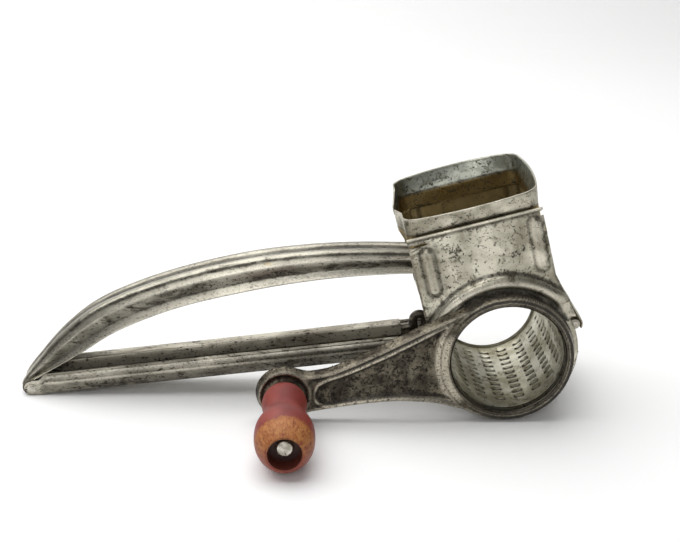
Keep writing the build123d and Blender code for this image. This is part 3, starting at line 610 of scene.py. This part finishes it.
# %% End plates
CRADLE_R, CRADLE_P, CRADLE_Q = 29.2, 1.3, 0.4
FLANGE_FOOT = 21.3
half_turn = np.linspace(math.radians(-172), math.radians(18), 60)
hem_p, hem_q = 30.7, 5.4
plate_loop = np.vstack([[(MOUTH_LEFT - 0.4, LEDGE), (MOUTH_LEFT - 0.4, FLANGE_FOOT)],
                        np.stack([CRADLE_R * np.cos(half_turn) + CRADLE_P,
                                  CRADLE_R * np.sin(half_turn) + CRADLE_Q], -1),
                        [(hem_p + 1.2, hem_q + 3.6), (MOUTH_RIGHT + 0.8, 30.0), (MOUTH_RIGHT + 0.4, LEDGE)]])
DRUM_CLEAR = 25.6
SLIT_Q, SLIT_LONG = 56.6, 7.6
ARCH_R, ARCH_HALF, ARCH_HIGH = 32.6, 3.0, 2.15
RIB_HIGH = 0.95
THIN_SHEET = 0.6
PLATE_PITCH = 0.5


def plate_outline(p, q):
    """Blank of the end plate, less the drum hole, the slit and the notch."""
    blank = distance_to_loop(p, q, plate_loop)
    hole = DRUM_CLEAR - np.hypot(p, q)
    slit = -np.maximum(np.abs(q - SLIT_Q) - 0.45, p - (MOUTH_LEFT + SLIT_LONG))
    notch = -np.maximum(np.abs(q - (SLIT_Q + 1.0)) - 1.0, (MOUTH_RIGHT - 1.4) - p)
    return np.maximum(np.maximum(blank, hole), np.maximum(slit, notch))


def rib_distance(p, q, middle, low, high, radius):
    """Distance to an upright line, less the rib's half width."""
    nearest = np.clip(q, low + radius, high - radius)
    return np.hypot(p - middle, q - nearest) - radius


def plate_shape_for(side):
    """Shape of the near plate (side -1) or the far plate (side 1): half the hopper's width plus the sum
    of arch bead, ribs, panel, hem, bent edges and a slight waviness."""
    def shape(p, q, d):
        r = np.hypot(p, q)
        turn = np.degrees(np.arctan2(q, p))
        edge = -distance_to_loop(p, q, plate_loop)
        arch = ease(turn, 24.0, 42.0) * ease(turn, 156.0, 138.0)
        bead = ARCH_HIGH * np.sqrt(np.clip(1 - ((r - ARCH_R) / ARCH_HALF) ** 2, 0, 1)) * arch
        left = rib_distance(p, q, MOUTH_LEFT + 6.3, 33.5, 54.5, 2.6)
        right_rib = rib_distance(p, q, 22.2, 33.0, 57.0, 2.4)
        ribs = RIB_HIGH * ease(left, 0.5, -1.4) + RIB_HIGH * ease(right_rib, 0.5, -1.3)
        panel = np.maximum(np.maximum(MOUTH_LEFT + 10.3 - p, p - 18.6), np.maximum(q - 57.6, 36.2 - r))
        pressed = -0.45 * ease(panel, 0.6, -0.8)
        hem = 0.75 * bump(q, LEDGE - 0.7, 0.9) - 0.5 * bump(q, LEDGE - 2.2, 0.7)
        edges = -0.7 * (1 - ease(edge, 0.0, 1.0)) * (q < LEDGE - 1.5)
        height = bead + ribs + pressed + hem + edges
        waves = 0.10 * np.sin(p * 0.42 + 1.3) * np.sin(q * 0.37) + 0.05 * np.sin(p * 1.1 + q * 0.7)
        height = height + waves * (arch < 0.5)
        x, z = hopper_xz(p, q)
        # Ridge: a painted highlight along the hem's top and the arch bead's crest, and rubbed edges on the
        # ribs.
        ridge = np.maximum(bump(q, LEDGE - 0.6, 0.8), 0.65 * bump(r, 32.2, 2.2) * arch)
        ridge = np.maximum(ridge, 0.35 * (bump(left, -1.6, 1.2) + bump(right_rib, -1.4, 1.2)))
        hollow = np.maximum(0.75 * bump(q, LEDGE - 2.1, 0.6), 0.7 * bump(left, 0.5, 0.9))
        hollow = np.maximum(hollow, 0.6 * bump(right_rib, 0.5, 0.8))
        hollow = np.maximum(hollow, 0.8 * bump(r, 36.3, 1.1) * arch)
        hollow = np.maximum(hollow, 0.85 * ease(r, 30.6, 29.0) * (q > 8))
        hollow = np.maximum(hollow, 0.5 * bump(q, SLIT_Q, 1.2) * (p < MOUTH_LEFT + SLIT_LONG + 1))
        return np.stack([x, side * (PLATE_HALF + height), z], -1), ridge, hollow
    return shape


plate_us = np.arange(-31.0, 34.6, PLATE_PITCH)
plate_vs = np.arange(-30.5, 61.6, PLATE_PITCH)
near_plate = relief_sheet("near_end_plate", "frame", plate_us, plate_vs, plate_outline,
                          plate_shape_for(-1), THIN_SHEET, tin_body, "near_plate", tin_inside)
near_plate.data.flip_normals()
far_plate = relief_sheet("far_end_plate", "frame", plate_us, plate_vs, plate_outline,
                         plate_shape_for(1), THIN_SHEET, tin_body, "far_plate", tin_inside)

# %% [markdown]
# ## Pierced drum
# The drum is rolled from a sheet pierced with short slots; a die pushes each slot's lip
# outward so that it cuts.  The wall is a function of angle and length: the radius rises
# toward each slot's lip, and the quads inside the slot are left out.

# %% Pierced drum
DRUM_R, DRUM_WALL = 24.0, 0.5
COLUMNS, ROWS = 18, 11
ACROSS, LONG = 16, 8
SLOT_FIRST, SLOT_HALF, SLOT_SLANT, LIP_HIGH = 22.9, 2.3, 0.16, 0.75
PITCH = 2 * SLOT_FIRST / (ROWS - 1)
theta = np.linspace(0, 2 * np.pi, COLUMNS * ACROSS, endpoint=False)
slotted = np.arange(-SLOT_FIRST - PITCH / 2, SLOT_FIRST + PITCH / 2 + 0.01, PITCH / LONG)
y_line = np.concatenate([[-30.4, -29.0, -26.5], slotted, [26.4, 27.4, 28.4]])
th, yy = np.meshgrid(theta, y_line, indexing="xy")
column = th / (2 * np.pi) * COLUMNS
arc = (column - np.floor(column) - 0.5) * (2 * np.pi * DRUM_R / COLUMNS)
slanted = yy + SLOT_SLANT * arc
row = (slanted + SLOT_FIRST) / PITCH
along = (row - np.round(row)) * PITCH
inside_rows = (np.round(row) >= 0) & (np.round(row) <= ROWS - 1)
across = np.abs(arc) / SLOT_HALF
raised = np.clip(1 - across ** 2, 0, 1) * bump(along, 0.35, 1.9) * inside_rows
radius = DRUM_R + LIP_HIGH * raised
bore_points = np.stack([radius * np.cos(th), yy, DRUM_Z + radius * np.sin(th)], -1).reshape(-1, 3)
faces = quads(len(y_line), len(theta), True)
mid_along = along.reshape(-1)[faces].mean(1)
mid_across = across.reshape(-1)[faces].mean(1)
corner_along = along.reshape(-1)[faces]
open_slot = (np.abs(mid_along + 0.30) < 0.90) & (mid_across < 0.92) & inside_rows.reshape(-1)[faces].all(1)
open_slot &= (corner_along.max(1) - corner_along.min(1)) < 2.0
drum = grid_mesh("pierced_drum", placed(bore_points), faces[~open_slot])
# Painted shade, nearly black, in and round each slot, and the wall darker towards the near end; painted
# glints on each slot's raised lip.
drum_shade = 0.95 * bump(along, -0.35, 1.75) * (across < 1.04) * inside_rows
drum_shade = np.maximum(drum_shade, 0.35 * ease(yy, -20.0, -29.0))
drum_lip_glint = 0.7 * bump(along, 1.15, 0.45) * (across < 0.8) * inside_rows
finish_sheet(drum, "crank", DRUM_WALL, tin_drum, "grating_drum", drum_lip_glint.ravel(), drum_shade.ravel())
drum.data.flip_normals()

# %% [markdown]
# ## Turned rings
# The drum's far lip, its near band and the rolled ring at its mouth are all round about
# the drum axis, so each is a profile of radius and length carried round in a full turn.

# %% Lips and bands of the drum


def turned_ring(name, body, profile, centre, material, node, ridge=0.0, count=96):
    """Profile of (radius, y) points carried round an axis along Y: x and z are the centre plus the
    radius times the cosine and sine of the angle."""
    prof = np.asarray(profile, float)
    a = np.linspace(0, 2 * np.pi, count, endpoint=False)
    x = centre[0] + prof[:, 0:1] * np.cos(a)[None, :]
    z = centre[1] + prof[:, 0:1] * np.sin(a)[None, :]
    y = np.repeat(prof[:, 1:2], count, 1)
    points = np.stack([x, y, z], -1).reshape(-1, 3)
    made = grid_mesh(name, placed(points), quads(len(prof), count, True))
    return finish_sheet(made, body, 0.0, material, node, ridge, 0.0)


ROLL_R = 0.75
drum_axis = (0.0, DRUM_Z)
lip_turn = (np.linspace(-100, 190, 18) * np.pi / 180)[6:]
lip = np.stack([23.15 + ROLL_R * np.cos(lip_turn), 29.1 + ROLL_R * np.sin(lip_turn)], -1)
lip_profile = np.vstack([[(24.45, 26.2), (25.3, 26.6), (25.3, 28.8), (24.6, 29.6)], lip])
far_lip = turned_ring("drum_far_lip", "crank", lip_profile, drum_axis, tin_drum, None, 0.3)
band_profile = [(24.5, -23.8), (25.3, -24.2), (25.3, -30.6), (24.1, -30.8)]
near_band = turned_ring("drum_near_band", "crank", band_profile, drum_axis, tin_drum, None)
bead_turn = (np.linspace(-90, 200, 16) * np.pi / 180)[::-1]
bead_profile = np.stack([24.75 + ROLL_R * np.cos(bead_turn), -33.9 + ROLL_R * np.sin(bead_turn)], -1)
ring_bead = turned_ring("mouth_bead", "crank", bead_profile, drum_axis, steel_dark, "mouth_ring", 0.15)

# %% [markdown]
# ## Handles
# Both handles are channels bent from strip.  A channel is one cross-section carried
# along a path: the path runs along the roof, the section says how far a point lies out
# from the middle (across), how far above or below the roof (lift), and how far down
# the side wall it is as a share of the wall's depth (share).  The section's small
# rises are the stiffening ribs, and its last points are the rolled edge.

# %% Channels
def channel(name, body, roof, foot, section, half, material, node, steps=10, thick=0.7, brown=None):
    """Point = roof + up times lift + (foot - roof) times share, at across times half; the section is
    mirrored for the far wall."""
    top = curve_through(roof, steps)
    low = curve_through(foot, steps)
    run = np.gradient(top, axis=0)
    run /= np.linalg.norm(run, axis=1)[:, None]
    above = np.stack([-run[:, 1], run[:, 0]], -1)
    if above[len(above) // 2, 1] < 0:
        above = -above
    across, lift, share, ridge, hollow = (np.asarray(v, float) for v in zip(*section))
    across = np.concatenate([-across[::-1], across[1:]])
    lift, share, ridge, hollow = (np.concatenate([v[::-1], v[1:]]) for v in (lift, share, ridge, hollow))
    down = low - top
    xz = (top[:, None, :] + above[:, None, :] * lift[None, :, None]
          + down[:, None, :] * share[None, :, None])
    y = np.broadcast_to(across * half, (len(top), len(across)))
    points = np.stack([xz[..., 0], y, xz[..., 1]], -1)
    made = grid_mesh(name, placed(points.reshape(-1, 3)), quads(len(top), len(across))[:, ::-1])
    r = np.broadcast_to(ridge, y.shape)
    h = np.broadcast_to(hollow, y.shape)
    return finish_sheet(made, body, thick, material, node, r, h, 0.0 if brown is None else brown(points))


UPPER_ROOF = [(-204.9, 0.4), (-206.5, 2.9), (-205.95, 5.6), (-200.9, 12.5), (-188.2, 27.4), (-171.2, 40.6),
              (-144.0, 52.1), (-112.7, 60.5), (-86.4, 64.5), (-60.0, 66.1), (-30.0, 65.7), (1.0, 64.9)]
UPPER_FOOT = [(-204.4, 1.0), (-205.3, 3.2), (-203.4, 6.6), (-196.6, 10.4), (-180.6, 20.6), (-164.2, 31.4),
              (-138.7, 42.0), (-108.9, 49.7), (-84.6, 54.2), (-59.6, 57.0), (-30.0, 58.2), (1.0, 57.4)]
# Section columns: across, lift, share, ridge, hollow.  Ridge paints highlights on the rib crests, the
# shoulder and the cream flange at the bottom; hollow darkens the valley and the groove under the crown, and
# paints a dark reflection on the band above the flange.
upper_section = curve_through([
    (0.00, 0.00, 0.00, 0.0, 0.5), (0.20, 0.02, 0.00, 0.1, 0.3), (0.32, 0.45, 0.00, 0.7, 0.0),
    (0.52, 0.58, 0.00, 0.5, 0.0), (0.72, 0.30, 0.02, 0.2, 0.2), (0.80, -0.20, 0.05, 0.0, 0.7),
    (0.86, -0.35, 0.12, 0.5, 0.1), (0.93, -0.40, 0.22, 0.9, 0.0), (0.955, 0.00, 0.30, 0.6, 0.1),
    (0.955, 0.00, 0.38, 0.1, 0.4), (0.94, 0.00, 0.46, 0.0, 0.35), (0.90, 0.00, 0.56, 0.0, 0.40),
    (0.86, 0.00, 0.66, 0.0, 0.45), (0.845, 0.00, 0.74, 0.0, 0.65), (0.875, 0.00, 0.80, 0.5, 0.2),
    (0.935, 0.00, 0.88, 0.8, 0.0), (0.995, 0.00, 0.96, 0.9, 0.0), (1.035, 0.00, 1.03, 0.9, 0.0),
    (1.00, 0.00, 1.07, 0.2, 0.3), (0.94, 0.00, 1.03, 0.0, 0.6)], 4)


def rust_spots(points):
    """Round brown marks where the tin has rusted through, near measured places on the wall."""
    marks = np.zeros(points.shape[:-1])
    for x, z, radius in ((-100.0, 61.0, 1.3), (-31.0, 60.6, 4.5), (-24.0, 62.0, 3.5), (-150.0, 45.0, 1.0)):
        marks = np.maximum(marks, bump(np.hypot(points[..., 0] - x, points[..., 2] - z), 0.0, radius))
    return marks


UPPER_HALF = 9.0
upper = channel("upper_handle_sheet", "presser_lever", UPPER_ROOF, UPPER_FOOT, upper_section, UPPER_HALF,
                tin_handle, "upper_handle", 9, 0.7, rust_spots)

# %% [markdown]
# ## Lower handle
# The lower handle is a channel open at the top.  Its walls are not flat: a foot in painted
# shade, a shallow groove and a round shoulder with a painted highlight run along each.  The CAD
# channel stays, and a thin skin that swells outward over the wall's height is laid over each of its walls.

# %% Lower handle cheeks
WALL_TOP = 9.3
NOSE_R, HANDLE_LONG, HANDLE_HALF = 3.4, 173.0, 9.0
slope = math.radians(6.65)
handle_run = np.array([math.cos(slope), math.sin(slope)])
handle_up = np.array([-math.sin(slope), math.cos(slope)])
tail = np.array([TAIL_X, TAIL_Z])


def cheek(side):
    """Outer skin of the lower handle's wall: a foot in painted shade, a shallow groove and a round shoulder
    with a painted highlight, as an outward swell over the height of the wall."""
    nose_run = -(NOSE_R - 0.05) * np.cos(np.linspace(0, np.pi / 2, 10))
    run = np.concatenate([nose_run, np.linspace(0.6, HANDLE_LONG, 130)])
    up = np.linspace(0.0, 1.0, 30)
    d, w = np.meshgrid(run, up, indexing="ij")
    nose = np.sqrt(np.clip(NOSE_R ** 2 - np.minimum(d, 0) ** 2, 0.01, None))
    top = nose + (WALL_TOP - 2 * NOSE_R) * ease(d, 4.4, 4.9)
    high = -nose + (top + nose) * w
    swell = 0.12 + np.where(w < 0.56, 1.15 * (w / 0.56) ** 0.7, 1.15 * (1 - ((w - 0.56) / 0.44) ** 2.2))
    swell = 0.5 + (swell - 0.5) * ease(d, 2.0, 12.0)
    xz = tail + d[..., None] * handle_run + high[..., None] * handle_up
    points = np.stack([xz[..., 0], side * (HANDLE_HALF + swell), xz[..., 1]], -1)
    # Ridge paints highlights on the round shoulder and the mid ridge; foot paints shade on the lower wall,
    # which faces down.
    ridge = 0.8 * bump(w, 0.86, 0.16) + 0.9 * bump(w, 0.56, 0.07)
    foot = 0.35 * bump(w, 0.64, 0.06) + 0.50 * ease(w, 0.52, 0.40)
    hollow = foot * ease(d, 3.0, 8.0) + 0.8 * bump(d, 5.2, 1.2)
    made = grid_mesh("lower_cheek_" + ("near" if side < 0 else "far"), placed(points.reshape(-1, 3)),
                     quads(len(run), len(up))[:, ::-1 if side < 0 else 1])
    return finish_sheet(made, "frame", 0.3, tin_bar, None, ridge, hollow)


cheeks = [cheek(-1), cheek(1)]

# %% [markdown]
# ## Hopper liner
# One sheet lines the hopper.  Above the ledge it flares a little, bulged by use, so the
# rim is a rounded rectangle with convex sides.  At the left it ends in two flanges with
# turned-out ears, and at the right it runs down as a wall, a sloping skirt and a curl
# over the cradle's hem.

# %% Hopper liner
LINER_HALF, CORNER, FLANGE_EDGE = 26.8, 5.0, 10.4
EAR_BEND = math.radians(21)
LONG_BULGE, SHORT_BULGE = 2.9, 2.6
LEVELS = 22


def straight(start, stop, count):
    """Even points from start to stop."""
    return np.linspace(start, stop, count)


def rounded(p, y, start):
    """Corner arc about (p, y): a quarter turn from start, without its two end points."""
    turn = start + np.linspace(0, np.pi / 2, 9)[1:-1]
    return np.stack([p + CORNER * np.cos(turn), y + CORNER * np.sin(turn)], -1)


def plan_of_mouth():
    """Open plan of the mouth, from the near ear round to the far ear: sides joined by corner arcs."""
    left, right = MOUTH_LEFT + CORNER, MOUTH_RIGHT - CORNER
    near, far = CORNER - LINER_HALF, LINER_HALF - CORNER
    return np.vstack([straight((MOUTH_LEFT, -FLANGE_EDGE), (MOUTH_LEFT, near), 10),
                      rounded(left, near, np.pi),
                      straight((left, -LINER_HALF), (right, -LINER_HALF), 26),
                      rounded(right, near, 1.5 * np.pi),
                      straight((MOUTH_RIGHT, near), (MOUTH_RIGHT, far), 26),
                      rounded(right, far, 0.0),
                      straight((right, LINER_HALF), (left, LINER_HALF), 26),
                      rounded(left, far, 0.5 * np.pi),
                      straight((MOUTH_LEFT, far), (MOUTH_LEFT, FLANGE_EDGE), 10)])


def mouth_band():
    """Height times plan; the flare grows above the ledge and is greatest mid-side: one less x squared."""
    plan = plan_of_mouth()
    level = np.linspace(0.0, 1.0, LEVELS)
    p, y = (np.tile(plan[:, i], (LEVELS, 1)) for i in (0, 1))
    middle = (MOUTH_LEFT + MOUTH_RIGHT) / 2
    long_side = np.clip(1 - ((p - middle) / 27.6) ** 2, 0, 1) * (np.abs(y) > 21.7)
    short_side = np.clip(1 - (y / LINER_HALF) ** 2, 0, 1) * (p > 20.9)
    ear = (p < MOUTH_LEFT + 0.01) & (np.abs(y) < 16.6)
    back = np.where(ear, 16.6 - np.abs(y), 0.0)
    low = np.where(ear, 54.0 + 0.8 * back, 53.5)
    top = MOUTH_TOP + np.where(y < 0, -0.5, 0.7) * long_side - 0.95 * back * (y > 0)
    q = low + (top - low) * level[:, None]
    flare = np.clip((q - LEDGE) / (MOUTH_TOP - LEDGE), 0, 1) ** 0.8
    y = y + np.sign(y) * LONG_BULGE * long_side * flare
    p = p + SHORT_BULGE * short_side * flare - back * math.tan(EAR_BEND)
    x, z = hopper_xz(p, q)
    points = np.stack([x, y, z], -1)
    edge = bump(q, top, 0.9)
    # A painted shadow line at the ledge, under the band's lower edge.
    dirt_and_shade = 0.8 * bump(q, LEDGE + 0.1, 0.7)
    made = grid_mesh("hopper_mouth_band", placed(points.reshape(-1, 3)), quads(LEVELS, len(plan)))
    return finish_sheet(made, "frame", THIN_SHEET, tin_body, "hopper_liner", 0.6 * edge, dirt_and_shade,
                        1.0 - ease(q, LEDGE - 0.4, LEDGE + 0.6), tin_rim)


def liner_flange(side):
    """Left flange below the ear: straight from the slot to the corner, and the corner's arc."""
    turn = np.linspace(0, np.pi / 2, 9)[1:]
    near = CORNER - LINER_HALF
    arc = np.stack([MOUTH_LEFT + CORNER - CORNER * np.cos(turn), near - CORNER * np.sin(turn)], -1)
    plan = np.vstack([straight((MOUTH_LEFT, -FLANGE_EDGE), (MOUTH_LEFT, near), 10), arc])
    level = np.linspace(FLANGE_FOOT, 54.0, 30)
    p = np.tile(plan[:, 0], (len(level), 1))
    y = np.tile(plan[:, 1], (len(level), 1)) * -side
    q = np.broadcast_to(level[:, None], p.shape)
    x, z = hopper_xz(p, q)
    faces = quads(len(level), len(plan))[:, ::1 if side < 0 else -1]
    name = "liner_flange_" + ("near" if side < 0 else "far")
    made = grid_mesh(name, placed(np.stack([x, y, z], -1).reshape(-1, 3)), faces)
    edge = bump(np.abs(y), 10.6, 0.8)
    return finish_sheet(made, "frame", THIN_SHEET, tin_body, "hopper_liner", 0.5 * edge, 0.0, 0.0, tin_inside)


WIRE_R = 1.35


def right_sheet():
    """Profile down the hopper's right side: wall, sloping skirt, and an arc of three quarters of a turn."""
    roll = WIRE_R + 2 * SHEET + 0.1
    outer = roll + 0.4
    lean = math.atan2(hem_p + roll - MOUTH_RIGHT, 30.0 - hem_q)
    turn = np.linspace(lean, math.radians(-46), 14)
    wall = np.stack([np.full(14, MOUTH_RIGHT), np.linspace(54.0, 31.0, 14)], -1)
    foot = np.array([hem_p + outer * math.cos(lean), hem_q + outer * math.sin(lean)])
    knee = np.array([MOUTH_RIGHT + 0.3, 29.6])
    skirt = knee + (foot - knee) * np.linspace(0.0, 0.94, 18)[:, None]
    curl = np.stack([hem_p + outer * np.cos(turn), hem_q + outer * np.sin(turn)], -1)
    line = np.vstack([wall, skirt, curl])
    y = np.linspace(-26.9, 26.9, 40)
    p, yy = np.meshgrid(line[:, 0], y, indexing="ij")
    q = np.broadcast_to(line[:, 1][:, None], p.shape)
    dent = 0.12 * np.sin(yy * 0.3 + 1.0) * np.sin(q * 0.25)
    x, z = hopper_xz(p + dent, q)
    rubbed = np.concatenate([np.zeros(14), 0.5 * bump(np.arange(18), 1, 3), np.full(14, 0.35)])
    dirty = np.concatenate([np.zeros(14 + 18), 0.7 * ease(np.arange(14), 8, 13)])
    ridge, hollow = (np.broadcast_to(v[:, None], p.shape) for v in (rubbed, dirty))
    points = np.stack([x, yy, z], -1).reshape(-1, 3)
    made = grid_mesh("liner_right_sheet", placed(points), quads(len(line), len(y))[:, ::-1])
    return finish_sheet(made, "frame", THIN_SHEET, tin_body, "hopper_liner", ridge, hollow, 0.0, tin_inside)


liner = [mouth_band(), liner_flange(-1), liner_flange(1), right_sheet()]

# %% [markdown]
# ## The pieces that the CAD already has right
# The cradle, the latch with its hook, the rivets, the pins, the presser and the knob have
# their shapes in the CAD model, so they stay and only get the finishes made above.  The
# wire parts are drawn steel, the rivet and pin heads are rubbed bright.

# %% Better finishes on the CAD pieces
# The cradle's dark bar tin is partly painted shade, so that the drum's slots look dark; its outside is dark
# brown too.
finishes = {"hopper_liner": tin_body, "bearing_rings": tin_bar, "drum_cradle": tin_bar,
            "hem_wire": pin_metal, "lower_handle": tin_bar, "tail_pin": pin_metal,
            "frame_rivets": pin_metal, "upper_handle": tin_handle, "presser_plate": tin_body,
            "presser_bracket": tin_bar, "presser_rivets": pin_metal, "latch_lever": tin_latch,
            "latch_hook": steel_wire, "knob_pin": pin_metal, "pin_washer": steel_wire,
            "crank_knob": red_paint}
for name, material in finishes.items():
    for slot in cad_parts[name].material_slots:
        slot.material = material
print(len(finishes), "CAD pieces refinished")
